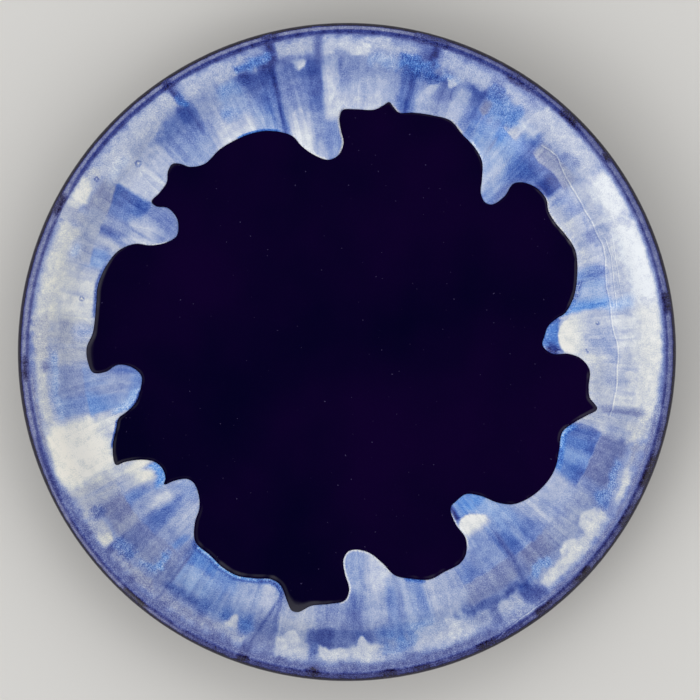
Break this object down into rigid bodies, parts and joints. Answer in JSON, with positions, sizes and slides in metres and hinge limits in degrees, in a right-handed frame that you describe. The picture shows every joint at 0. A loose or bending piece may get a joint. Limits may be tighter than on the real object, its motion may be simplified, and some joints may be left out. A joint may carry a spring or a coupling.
{
  "type": "salad plate",
  "caption": "Round stoneware salad plate with a flat well, an S-curved rim and a foot ring, dark glazed, with a pale overlay glaze that runs from the lip in rounded drips.",
  "frame": {"origin": "centre of the circle that the foot ring stands on", "axes": "+Z up out of the well along the axis of the plate, +X to the right and +Y up in the view of the front"},
  "size_m": [0.216, 0.216, 0.024],
  "materials": {
    "bare_clay": "matt, unglazed, trimmed and wiped",
    "cobalt_glaze": "high gloss, violet-black",
    "milk_glaze": "gloss, milky white streaked with cobalt and sky blue"
  },
  "bodies": {
    "root": {"stoneware_body": "bare_clay", "base_glaze": "cobalt_glaze", "foot_glaze": "cobalt_glaze", "drip_glaze": "milk_glaze"}
  },
  "joints": []
}
